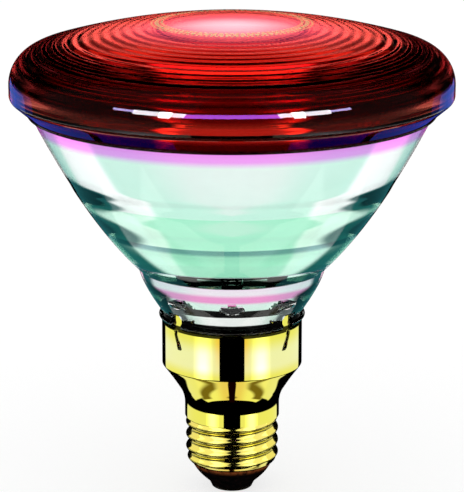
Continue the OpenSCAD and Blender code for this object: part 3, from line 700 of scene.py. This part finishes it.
def neck_outside():
    """Heel, bead (part of an ellipse) and a flare whose radius follows half a line and half a sine."""
    foot = CAP_Z - HEEL_DROP
    heel = [[HEEL_BORE_R, foot], [HEEL_R - HEEL_CHAMFER, foot], [HEEL_R, foot + HEEL_CHAMFER]]
    angle = np.radians(np.linspace(-90, 50, 16))
    bead = np.stack([HEEL_R + (BEAD_R - HEEL_R) * np.cos(angle), BEAD_Z + BEAD_HALF * np.sin(angle)], -1)
    t = np.linspace(0, 1, 60)
    flare = np.stack([WAIST[0] + (FLARE_TOP[0] - WAIST[0]) * (t + np.sin(np.pi / 2 * t)) / 2,
                      WAIST[1] + (FLARE_TOP[1] - WAIST[1]) * t], -1)
    return np.concatenate([heel, bead, flare])


print("bowl from r", LEDGE_R, "at z", LEDGE_Z, "to r", BOWL_RIM_R, "at z", JOINT_Z)


# %% [markdown]
# ## The bowl's inside
#
# The mirror's seat follows the outside at the distance of the wall, which thins in two steps between the
# mirror's three zones. Steps could be sharp, but pressed glass rounds them, so each is blended. The mirror
# goes on down into a narrow well round the floor, where it shows through the neck.

# %% Bowl inside
ZONE_STEP, ZONE_SOFT = 0.35, 4.5
FLOOR_DROP, FLOOR_WALL, MIRROR_FOOT = 7.2, 5.4, 3.1
FLOOR_Z = VERTEX_Z + GROWTH / 4 + BOWL_WALL - FLOOR_DROP
FLOOR_UNDER_Z = FLOOR_Z - FLOOR_WALL
WELL_R, WELL_Z, WELL_W, WELL_CURVE = 19.9, FLOOR_UNDER_Z - 0.5, 0.9, 0.35


def mirror_seat():
    """The paraboloid moved inwards by the wall, which thins by the zone step at each of two heights."""
    outer = parabola(VERTEX_Z + BOWL_WALL / 2, JOINT_Z, 480)
    wall = BOWL_WALL + 2 * ZONE_STEP
    for zone_z in (ZONE_LOW_Z, ZONE_MID_Z):
        wall = wall - ZONE_STEP * smooth(outer[:, 1], zone_z - ZONE_SOFT, zone_z + ZONE_SOFT)
    seat = beside(outer, wall[:, None])
    return seat[(seat[:, 1] > FLOOR_Z + MIRROR_FOOT) & (seat[:, 1] < JOINT_Z)][::4]


def well_wall(top):
    """Outer wall of the well from its foot up to the seat: in r, part line and part square of the height."""
    t = np.linspace(0.0, 1.0, 16)[:-1]
    return np.stack([WELL_R + (top[0] - WELL_R) * ((1 - WELL_CURVE) * t + WELL_CURVE * t ** 2),
                     WELL_Z + (top[1] - WELL_Z) * t], -1)


SEAT = mirror_seat()
WELL = well_wall(SEAT[0])
print("mirror seat from r", SEAT[0, 0].round(2), "to", SEAT[-1, 0].round(2), "floor at", round(FLOOR_Z, 2))


# %% [markdown]
# ## Lugs and pockets
#
# Six domed lugs stand out from the neck, and four pockets take the tabs of the brass skirt. Boolean cuts
# would spoil the even grid. So each point of the turned grid that lies inside a lug is moved out to the
# lug's domed end, and each one in a pocket is moved in.

# %% Bowl
LUG_PLACES, TAB_PLACES = (-130, -90, -50, 50, 90, 130), (-140, -40, 40, 140)
LUG_W, LUG_H, LUG_Z, LUG_OUT_R, LUG_DOME = 6.4, 3.0, CAP_Z + 8.6, 24.0, 0.7
TAB_W, TAB_H, TAB_IN, TAB_GAP = 3.2, 4.4, 0.3, 0.4
OUTER_LAYER = 0.5


def from_nearest(angle, places):
    """Signed angle in radians from the nearest of several directions given in degrees."""
    off = (np.asarray(angle)[..., None] - np.radians(places) + np.pi) % (2 * np.pi) - np.pi
    return np.take_along_axis(off, np.abs(off).argmin(-1)[..., None], -1)[..., 0]


def press_neck(grid):
    """Pushes lugs out of the grid and presses the tab pockets in.

    A lug's end is an ellipsoid: radius = end - dome x (1 - square root of (1 - distance squared))."""
    x, y, z = grid[..., 0], grid[..., 1], grid[..., 2]
    r, angle = np.hypot(x, y), np.arctan2(y, x)
    across = r * np.sin(from_nearest(angle, LUG_PLACES))
    off = np.hypot(across / (LUG_W / 2), (z - LUG_Z) / (LUG_H / 2))
    end = LUG_OUT_R - LUG_DOME * (1 - np.sqrt(np.clip(1 - off ** 2, 0, 1)))
    new_r = np.where((off < 1) & (r > HEEL_R), np.maximum(r, end), r)
    across = np.abs(r * np.sin(from_nearest(angle, TAB_PLACES)))
    inside = (across < TAB_W / 2 + TAB_GAP) & (z > CAP_Z - TAB_IN) & (z < CAP_Z + TAB_H + TAB_GAP)
    new_r = np.where(inside & (r > HEEL_R - OUTER_LAYER), np.minimum(new_r, HEEL_R - TAB_IN), new_r)
    scale = new_r / np.maximum(r, 1e-6)
    return np.stack([x * scale, y * scale, z], -1)


def build_bowl():
    well_inner_r = WELL_R - WELL_W
    wall = np.concatenate([
        [[HEEL_BORE_R, FLOOR_UNDER_Z]], neck_outside(), bowl_outside(), [[SEAT[-1, 0], JOINT_Z]],
        SEAT[::-1], WELL[::-1], [[well_inner_r, WELL_Z], [well_inner_r, FLOOR_Z]]])
    profile = np.concatenate([[[0, FLOOR_UNDER_Z]], spread(wall, 1.5), [[0, FLOOR_Z]]])
    return lathe("bowl_glass", profile, "clear_glass", CLEAR, 384, ["reflector_bowl"], press=press_neck)


bowl_glass = build_bowl()


# %% [markdown]
# ## Linings
#
# Two thin skins line the glass: the aluminised mirror over seat and well, and a steel skin in the heel,
# which hides the leads. The steel's dark bands, above and below a bright one, are painted shade. Each could
# be a second material on the bowl, but a skin of its own can be looked at alone.

# %% Linings
MIRROR_BITE, MIRROR_SKIN = 0.03, 0.22
LINING_GAP, LINING_WALL, LINING_FOOT = 0.05, 0.4, 4.0


def build_lining():
    """A plain tube: four corners in the r-z plane."""
    outer, foot, top = HEEL_BORE_R + LINING_GAP, CAP_Z - LINING_FOOT, FLOOR_UNDER_Z - LINING_GAP
    inner = outer - LINING_WALL
    tube = spread([(outer, foot), (outer, top), (inner, top), (inner, foot)], 1.0)
    lathe("heel_lining", tube, "weld_metal", HEEL_STEEL_SHADED, 128)


def build_mirror():
    """The path of well and seat moved to both sides: a hair into the glass, and the skin's width out."""
    lined = np.concatenate([WELL, SEAT])
    profile = np.concatenate([beside(lined, -MIRROR_BITE), beside(lined, MIRROR_SKIN)[::-1]])
    lathe("mirror_skin", profile, "mirror_aluminium", MIRROR_WITH_PAINTED_LIGHT, 256, ["mirror_lining"], sharp=25)


build_lining()
build_mirror()


# %% [markdown]
# ## The lens
#
# The lens is a shallow dome whose edge turns down over a thick rim. Dome and shoulder could be one spline,
# but two arcs that share a tangent need only two radii.

# %% Lens outline
LENS_R, APEX_Z, DOME_R, SHOULDER_R = 61.2, 134.9, 190.0, 10.0
LENS_FOOT_R, FLANK_H, LENS_WALL, LENS_BORE_R = 57.0, 3.6, 4.5, 56.2
RIM_ROUND, FUSED_GAP = 1.5, 0.02
DOME_Z = APEX_Z - DOME_R
SHOULDER = (LENS_R - SHOULDER_R,
            DOME_Z + math.sqrt((DOME_R - SHOULDER_R) ** 2 - (LENS_R - SHOULDER_R) ** 2))
SHOULDER_END = math.degrees(math.acos((LENS_R - SHOULDER_R) / (DOME_R - SHOULDER_R)))


def lens_outside():
    """Flank of the rim, a small round, the shoulder's arc and the dome's arc up to the axis."""
    flank_top = (LENS_R, JOINT_Z + FLANK_H)
    return np.concatenate([
        spread([(LENS_FOOT_R, JOINT_Z + FUSED_GAP), flank_top], 1.0)[:-2],
        rounded((LENS_FOOT_R, JOINT_Z), flank_top, (LENS_R, JOINT_Z + FLANK_H + 4), RIM_ROUND),
        arc(SHOULDER, SHOULDER_R, 0, SHOULDER_END, 40), arc((0, DOME_Z), DOME_R, SHOULDER_END, 90, 60)[1:]])


print("lens shoulder at r", round(SHOULDER[0], 2), "z", round(SHOULDER[1], 2))


# %% [markdown]
# ## The flutes
#
# The inside of the lens is pressed with ring-shaped flutes, which spread the beam and show through the ruby
# glass as fine circles. They could be a bump, but they are coarse enough for real waves. They are deep at
# the shoulder and almost gone on the dome, and even steps along the path keep them equally wide.

# %% Lens
FLUTE_PITCH, FLUTE_DEPTH, FLUTE_STEPS, PLAIN_R = 2.8, 0.22, 14, 23.2
SHALLOW, SHALLOW_R, DEEP_R = 0.07, 38.0, 52.0


def fluted_path():
    """Inner face from bore to plain middle, moved along its normal by depth x sine squared of its length."""
    inner_r = DOME_R - LENS_WALL
    plain = 90.0 - math.degrees(math.asin(PLAIN_R / inner_r))
    under = np.concatenate([
        [[LENS_BORE_R, JOINT_Z + FLANK_H + 0.6]],
        arc(SHOULDER, LENS_BORE_R - SHOULDER[0], 0, SHOULDER_END - 3.0, 24),
        arc((0, DOME_Z), inner_r, SHOULDER_END, plain, 80)])
    length = np.concatenate([[0.0], np.cumsum(np.linalg.norm(np.diff(under, axis=0), axis=1))])
    count = round(length[-1] / FLUTE_PITCH)
    even = np.linspace(0.0, length[-1], count * FLUTE_STEPS + 1)
    path = np.stack([np.interp(even, length, under[:, 0]), np.interp(even, length, under[:, 1])], -1)
    wave = np.sin(np.pi * count * even / length[-1]) ** 2
    depth = FLUTE_DEPTH * (SHALLOW + (1 - SHALLOW) * smooth(path[:, 0], SHALLOW_R, DEEP_R))
    print("flutes:", count)
    return beside(path, (depth * wave)[:, None])


def build_lens():
    flutes = fluted_path()
    middle_r = np.linspace(flutes[-1, 0], 0, 24)[1:]
    middle = np.stack([middle_r, DOME_Z + np.sqrt((DOME_R - LENS_WALL) ** 2 - middle_r ** 2)], -1)
    bore = spread([(SEAT[-1, 0] + 0.3, JOINT_Z + FUSED_GAP), flutes[0]], 1.0)
    inside = np.concatenate([bore[:-1], flutes, middle])
    profile = np.concatenate([inside[::-1], lens_outside()])
    return lathe("lens_glass", profile, "ruby_glass", RUBY, 320, ["lens"], sharp=40)


lens_glass = build_lens()


# %% [markdown]
# ## Softboxes
#
# A long softbox in front draws the bright line along the lens's shoulder, and dim blue ones low at each
# side draw the cool edge of its rim. The flanks of the bowl get a dark teal one each. The tent could carry
# these too, but then the brass would show them. A softbox can be linked to one object.

# %% Softboxes
BOX_REACH, BOX_AIM_Z = 1.5, 0.115


def only(piece):
    """A collection that holds one piece, for a softbox to be linked to."""
    group = bpy.data.collections.new("only_" + piece.name)
    group.objects.link(piece)
    return group


def softbox(name, group, bearing, height, width, rise, colour, strength):
    """An area lamp at a bearing and a height, with a width and a rise, all in degrees."""
    lamp = bpy.data.lights.new(name, "AREA")
    lamp.shape, lamp.color = "RECTANGLE", colour
    lamp.size = 2 * BOX_REACH * math.tan(math.radians(width / 2))
    lamp.size_y = 2 * BOX_REACH * math.tan(math.radians(rise / 2))
    lamp.energy = strength * math.pi * lamp.size * lamp.size_y
    box = bpy.data.objects.new(name, lamp)
    b, h = math.radians(bearing), math.radians(height)
    box.location = (BOX_REACH * math.sin(b) * math.cos(h), -BOX_REACH * math.cos(b) * math.cos(h),
                    BOX_AIM_Z + BOX_REACH * math.sin(h))
    box.rotation_euler = (math.pi / 2 - h, 0.0, b)
    box.visible_camera = box.visible_transmission = box.visible_diffuse = False
    box.light_linking.receiver_collection = group
    link(box)


def softbox_pairs(group, boxes):
    """Hangs each softbox twice, to the left and to the right of the camera."""
    for sign in (-1, 1):
        for name, bearing, *rest in boxes:
            softbox(name, group, sign * bearing, *rest)


lens_only = only(lens_glass)
softbox("strip_middle", lens_only, 0.0, 17.5, 48.0, 11.0, (0.55, 0.12, 1.0), 17.0)
softbox_pairs(lens_only, (
    ("strip_side", 37.0, 18.0, 26.0, 11.0, (1.0, 0.93, 1.0), 24.0),
    ("strip_end", 56.0, 19.0, 12.0, 5.0, (0.6, 0.5, 1.0), 20.0),
    ("strip_star", 33.5, 16.5, 6.0, 17.0, (1.0, 0.95, 1.0), 40.0),
    ("rim_high", 144.0, -12.0, 28.0, 12.0, (0.12, 0.24, 1.0), 1.0),
    ("rim_fade", 134.0, -9.0, 26.0, 10.0, (0.04, 0.08, 1.0), 0.4),
    ("rim_low", 165.0, -32.0, 24.0, 26.0, (0.08, 0.12, 1.0), 0.55),
    ("rim_under", 153.0, -56.0, 10.0, 18.0, (0.08, 0.0, 1.0), 0.3)))
softbox_pairs(only(bowl_glass), (("flank_teal", 150.0, -41.0, 58.0, 38.0, (0.125, 0.92, 1.0), 0.24),))
print("softboxes:", len(bpy.data.lights))


# %% [markdown]
# ## The rim weld
#
# Lens and bowl are melted together with a gas flame, which leaves a small round bead under the rim. A torus
# would leave the corner between the glasses empty, so an outline with one arc is turned.

# %% Rim weld
WELD_R, WELD_DROP, WELD_OUT = 0.75, 0.55, 0.5


def build_weld():
    """From the bowl's outside at the bead's foot, round part of a circle, to the joint."""
    z = JOINT_Z - WELD_H
    foot = math.sqrt(GROWTH * (z - VERTEX_Z)) - FUSED_GAP
    bead = arc((BOWL_RIM_R - 0.1, JOINT_Z - WELD_DROP), WELD_R, -50, 40, 10)
    profile = np.concatenate([[(foot, z)], bead, [(BOWL_RIM_R + WELD_OUT, JOINT_Z), (BOWL_RIM_R, JOINT_Z)]])
    lathe("rim_bead", profile, "weld_glass", WELD, 256, ["rim_weld"])


build_weld()


# %% [markdown]
# ## The brass skirt's outline
#
# The skirt is drawn from thin sheet, so it is one skin that gets its thickness at the end. A solid would
# need every bend twice. Its outline is a collar, a wide fillet, a slightly hollow cone, a tight bend, the
# straight skirt and the tabs.

# %% Skirt outline
SKIRT_R, COLLAR_R, SKIRT_WALL, SHELL_BORE_R = 19.7, 13.35, 0.35, 11.83
COLLAR_Z, CONE_FOOT_Z, CONE_TOP_Z = 21.6, 28.1, 37.2
COLLAR_BEND_R, SKIRT_BEND_R, CONE_HOLLOW = 9.5, 0.5, 0.12
SLIT_H, SLIT_DROP, SLIT_W, SLIT_LEAN, LANCE_R = 4.6, 0.8, 0.95, 20.0, 1.2
SLIT_TOP_Z = CAP_Z - SLIT_DROP
SLIT_LOW_Z = SLIT_TOP_Z - SLIT_H


def skirt_outline():
    """Collar, cone and skirt. The cone's radius loses the hollow times a sine over its height."""
    collar, cone_foot, cone_top = (COLLAR_R, COLLAR_Z), (COLLAR_R, CONE_FOOT_Z), (SKIRT_R, CONE_TOP_Z)
    profile = spread(np.concatenate([
        [[SHELL_BORE_R, COLLAR_Z + 0.02], collar], rounded(collar, cone_foot, cone_top, COLLAR_BEND_R, 16),
        rounded(cone_foot, cone_top, (SKIRT_R, CAP_Z), SKIRT_BEND_R, 6),
        [[SKIRT_R, SLIT_LOW_Z - 0.5], [SKIRT_R, SLIT_LOW_Z], [SKIRT_R, SLIT_LOW_Z + 0.7],
         [SKIRT_R, SLIT_TOP_Z], [SKIRT_R, CAP_Z], [SKIRT_R - TAB_IN, CAP_Z + TAB_IN],
         [SKIRT_R - TAB_IN, CAP_Z + TAB_H]]]), 0.8)
    share = np.clip((profile[:, 1] - CONE_FOOT_Z - 2.5) / (CONE_TOP_Z - CONE_FOOT_Z - 3.0), 0, 1)
    profile[:, 0] -= CONE_HOLLOW * np.sin(np.pi * share)
    return profile


def solidified(piece, thickness):
    """Gives a skin its thickness inwards, and keeps the result as plain mesh."""
    material = piece.data.materials[0]
    wall = piece.modifiers.new("wall", "SOLIDIFY")
    wall.thickness, wall.offset, wall.use_rim = thickness * MM, -1.0, True
    bpy.context.view_layer.update()
    solid = bpy.data.meshes.new_from_object(piece.evaluated_get(bpy.context.evaluated_depsgraph_get()))
    piece.modifiers.clear()
    piece.data = solid
    solid.name = piece.name
    solid.materials.clear()
    solid.materials.append(material)


print("skirt outline helpers ready")


# %% [markdown]
# ## Tabs, slits and lances
#
# Four tabs stand up from the skirt's edge into the glass, and below each one a slit ends in a small
# three-cornered lance. Booleans would leave long thin faces that reflect badly. Here the grid's columns are
# bunched at those edges and lean with the slits, and faces inside slits and between tabs are left out.

# %% Skirt
SLIT_HALF, TAB_HALF = math.degrees(SLIT_W / 2 / SKIRT_R), math.degrees(math.asin(TAB_W / 2 / SKIRT_R))
NEAR_TAB, COLUMN_STEP = 9.0, 3.0


def skirt_columns():
    """Directions of the grid's columns in degrees, bunched round each tab and even between the tabs."""
    half = np.array([SLIT_HALF / 2, SLIT_HALF, 2 * SLIT_HALF, TAB_HALF, NEAR_TAB])
    marks = np.concatenate([-half, [0.0], half])
    ends = np.append(TAB_PLACES, TAB_PLACES[0] + 360)
    return np.sort(np.concatenate([place + marks for place in TAB_PLACES] + [
        np.arange(a + NEAR_TAB + COLUMN_STEP, b - NEAR_TAB - COLUMN_STEP + 1, COLUMN_STEP)
        for a, b in zip(ends[:-1], ends[1:])]))


def skirt_angles(column, local, z):
    """Column directions after slits lean and lances open: direction + offset x widening + lean."""
    # Each slit leans towards the lamp's front or back, and opens into its lance at the lower end
    side = np.where(np.isin(np.round(column - local), (-40, 140, 500)), -1.0, 1.0)
    depth = np.clip((SLIT_LOW_Z + SLIT_TOP_Z) / 2 - z, -SLIT_H / 2, SLIT_H / 2 + 0.5)
    depth = depth * np.clip((CAP_Z - z) / SLIT_DROP, 0, 1)
    lean = np.degrees(depth * math.tan(math.radians(SLIT_LEAN)) / SKIRT_R) * side
    near = np.clip(1.5 - np.abs(local) / 8.0, 0, 1)
    opening = np.clip(1 - np.abs(z - SLIT_LOW_Z - 0.35) / 0.8, 0, 1)
    widening = (LANCE_R / (SLIT_W / 2) - 1) * opening * (np.abs(local) < 1.5 * SLIT_HALF)
    return np.radians(column + local * widening + lean * near)


def build_skirt():
    profile, column = skirt_outline(), skirt_columns()
    following = np.append(column[1:], column[0] + 360)
    local = np.degrees(from_nearest(np.radians(column), TAB_PLACES))
    middle = np.abs(np.degrees(from_nearest(np.radians((column + following) / 2), TAB_PLACES)))
    r, z = profile[:, :1], profile[:, 1:]
    grid = polar(r, skirt_angles(column, local, z), z)
    faces = grid_faces(len(profile), len(column)).reshape(len(profile) - 1, len(column), 4)
    middle_z = (z[:-1] + z[1:]) / 2
    in_slit = (middle_z > SLIT_LOW_Z) & (middle_z < SLIT_TOP_Z) & (middle < SLIT_HALF)
    off_tab = (middle_z > CAP_Z) & (middle > TAB_HALF)
    skirt = mesh_object("skirt_sheet", grid, faces[~(in_slit | off_tab)], "skirt_brass", SKIRT_BRASS_WITH_SHEEN,
                        ["cap_skirt"], sharp=50)
    solidified(skirt, SKIRT_WALL)


build_skirt()


# %% [markdown]
# ## The screw shell
#
# The thread is rolled, so crest and root are equally round. It could be a profile swept along a helix, but
# that leaves loose ends. Here the radius follows a cosine of the height and the angle together, which fades
# out at both ends. The lower edge curls in over the glass. Softboxes of its own keep the threads bright.

# %% Screw shell
SHELL_Z, THREAD_R, THREAD_DEPTH, PITCH, THREAD_START = 7.8, 13.13, 1.0, 3.629, 103.6
SHELL_WALL, CURL_TOP_Z, CURL_IN = 0.3, 9.3, 1.1


def build_shell():
    """Radius = middle - curl + half the depth x cosine (angle - start - turns up to this height)."""
    steps = 192
    z = np.append(np.linspace(SHELL_Z, CURL_TOP_Z, 14), np.linspace(CURL_TOP_Z, COLLAR_Z, 90)[1:])[:, None]
    angle = np.linspace(0, 2 * np.pi, steps, endpoint=False)[None, :]
    phase = angle - np.radians(THREAD_START) - 2 * np.pi * (z - SHELL_Z) / PITCH
    fade = np.clip((z - 8.6) / 1.6, 0, 1) * np.clip((COLLAR_Z - z) / 1.2, 0, 1)
    curl = CURL_IN * np.clip((CURL_TOP_Z - z) / (CURL_TOP_Z - SHELL_Z), 0, 1) ** 2
    r = THREAD_R - THREAD_DEPTH / 2 - curl + THREAD_DEPTH / 2 * np.cos(phase) * fade
    shell = mesh_object("thread_shell", polar(r, angle, z), grid_faces(len(z), steps), "shell_brass",
                        SHELL_BRASS, ["screw_shell"], sharp=60)
    solidified(shell, SHELL_WALL)
    return shell


softbox_pairs(only(build_shell()), (
    ("wall_near", 62.0, 30.0, 74.0, 66.0, (1.0, 0.98, 0.95), 1.0),
    ("wall_panel", 48.0, 24.0, 26.0, 56.0, (1.0, 1.0, 1.0), 1.0),
    ("wall_far", 116.0, 22.0, 36.0, 56.0, (1.0, 0.96, 0.85), 0.95)))


# %% [markdown]
# ## The lamp's foot
#
# Black glass keeps the shell and the centre contact apart. It was poured in hot, so its flank bulges a
# little. The contact is a small plate with a hole, and a drop of solder fills the hole. Plain cones and
# cylinders could stand here, but turned outlines give the bulge and the round edges.

# %% Insulator, contact and solder
CONTACT_R, CONTACT_WALL, SOLDER_R = 6.0, 1.0, 1.4
INSULATOR_H, INSULATOR_BORE_R, FLANK_FOOT_R, FLANK_TOP_R, FLANK_BULGE = 6.8, 1.18, 6.6, 11.45, 0.6
PLUG_R, PLUG_H = SHELL_BORE_R - 0.5, 5.0


def build_insulator():
    """The flank's radius = line from foot to top + bulge x sine of pi times the share of the height."""
    t, bore, seat = np.linspace(0, 1, 24), INSULATOR_BORE_R, CONTACT_WALL + 0.02
    flank = np.stack([FLANK_FOOT_R + (FLANK_TOP_R - FLANK_FOOT_R) * t + FLANK_BULGE * np.sin(np.pi * t),
                      CONTACT_WALL + 1 + (INSULATOR_H - 1) * t], -1)
    plug = [[PLUG_R, SHELL_Z + 0.3], [PLUG_R, SHELL_Z + PLUG_H], [PLUG_R - 2.5, SHELL_Z + PLUG_H],
            [PLUG_R - 3.5, SHELL_Z - 1], [2.7, SHELL_Z - 2], [bore, SHELL_Z - 2]]
    profile = np.concatenate([[[bore, seat], [CONTACT_R + 0.1, seat]], flank, plug])
    lathe("insulator_glass", profile, "black_glass", BLACK_GLASS, 128, ["insulator"])


def build_contact():
    """A plate whose hole and rim are rounded below by a quarter of a circle each."""
    profile = np.concatenate([
        [[SOLDER_R, 0.15]], arc((SOLDER_R + 0.35, 0.25), 0.25, 180, 270, 5),
        arc((CONTACT_R - 0.75, 0.6), 0.6, -90, 0, 8), [[CONTACT_R, CONTACT_WALL], [SOLDER_R, CONTACT_WALL]]])
    lathe("contact_plate", profile, "contact_brass", CONTACT_BRASS, 96, ["centre_contact"])


def build_solder():
    """A drop with a flat foot and a quarter circle up to the hole's wall."""
    profile = np.concatenate([[[0, 0.0]], arc((0.9, 0.45), 0.45, -90, 0, 6),
                              [[SOLDER_R, 0.6], [SOLDER_R, CONTACT_WALL], [0, CONTACT_WALL]]])
    lathe("solder_drop", profile, "solder", SOLDER, 64, ["contact_solder"])


build_insulator()
build_contact()
build_solder()


# %% [markdown]
# ## Carried-over parts
#
# The posts, wires and cups inside the lamp are plain turned or bent pieces. They could be made again, but
# their CAD shapes are right, so each only gets its finish. A wave texture stands in for the woven fibre of
# the sleeve.

# %% Finishes for carried-over nodes
def fibre():
    def build(t, place):
        weave = t.add("ShaderNodeTexWave", {"Vector": place, "Scale": 900.0, "Distortion": 2.0,
                                            "Detail": 2.0}, bands_direction="DIAGONAL").outputs["Fac"]
        colour = t.mix(weave, (0.78, 0.74, 0.62), (0.9, 0.87, 0.78))
        bump = t.add("ShaderNodeBump", {"Height": weave, "Strength": 0.4, "Distance": 0.0002})
        return t.add("ShaderNodeBsdfPrincipled", {
            "Base Color": colour, "Roughness": 0.85, "Normal": bump.outputs[0]}).outputs[0]
    return finish("fibre_sleeve", build)


BRIDGE = glass("bridge_glass", (0.92, 0.96, 0.98), (0.88, 0.94, 0.97), ripple=0.05, ripple_scale=400.0)
CARRIED = {
    "filament": TUNGSTEN, "filament_supports": MOLYBDENUM, "filament_bridge": BRIDGE,
    "lead_post_left": NICKEL, "lead_post_right": NICKEL, "ferrule_left": FERRULE, "ferrule_right": FERRULE,
    "exhaust_tube": CLEAR, "centre_lead": COPPER, "lead_sleeve": fibre(), "side_lead": COPPER,
    "fuse_tube": CLEAR, "side_weld": WELD_METAL,
}
for node, material in CARRIED.items():
    slots = frame["nodes"][node].data.materials
    slots.clear()
    slots.append(material)
print("carried over:", ", ".join(CARRIED))


# %% [markdown]
# ## The printed ring
#
# A ring of pale gold print lies on the dome, as on many lamps. Here it is plain: three rings of short
# ticks. Print could be a pattern in the glass's colour, but gold is opaque, so each tick is a patch just
# above the dome.

# %% Printed ring
PRINT_LIFT = 0.03
PRINT_ROWS = ((18.8, 19.6, 84, 0.6), (20.0, 21.2, 66, 0.75), (21.6, 22.3, 100, 0.5))


def gold_print():
    def build(t, place):
        worn = t.mask(t.noise(place, 1500.0), 0.4, 0.7)
        colour = t.mix(worn, (1.0, 0.74, 0.30), (0.95, 0.55, 0.18))
        rough = t.mask(worn, 0.0, 1.0, 0.25, 0.5)
        return t.add("ShaderNodeBsdfPrincipled", {"Base Color": colour, "Metallic": 0.2,
                                                  "Roughness": rough}).outputs[0]
    return finish("gold_print", build)


def tick_row(r_low, r_high, count, share):
    """Patches of 3 x 3 points on the dome: its arc gives z, and the ticks fill a share of the circle."""
    r = np.linspace(r_low, r_high, 3)[None, :, None]
    first = 2 * np.pi * (np.arange(count) - share / 2) / count
    angle = first[:, None, None] + np.linspace(0, 2 * np.pi * share / count, 3)
    z = DOME_Z + np.sqrt((DOME_R + PRINT_LIFT) ** 2 - r ** 2)
    return polar(r, angle, z)


def build_print():
    points = np.concatenate([tick_row(*row) for row in PRINT_ROWS])
    i, j = np.meshgrid(np.arange(2), np.arange(2), indexing="ij")
    corner = 3 * i + j
    patch = np.stack([corner, corner + 3, corner + 4, corner + 1], -1).reshape(-1, 4)
    faces = (9 * np.arange(len(points))[:, None, None] + patch).reshape(-1, 4)
    mesh_object("print_ring", points, faces, "weld_metal", gold_print())


build_print()


# %% [markdown]
# ## Sizes and finish
#
# The boxes of the finished lamp and of its CAD model are both written to a file.

# %% Finish
visual_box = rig.bounds()
json.dump({"cad": [list(c) for c in cad_box], "visual": [list(c) for c in visual_box]},
          open("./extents.json", "w"))
print("sizes:", json.load(open("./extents.json")))
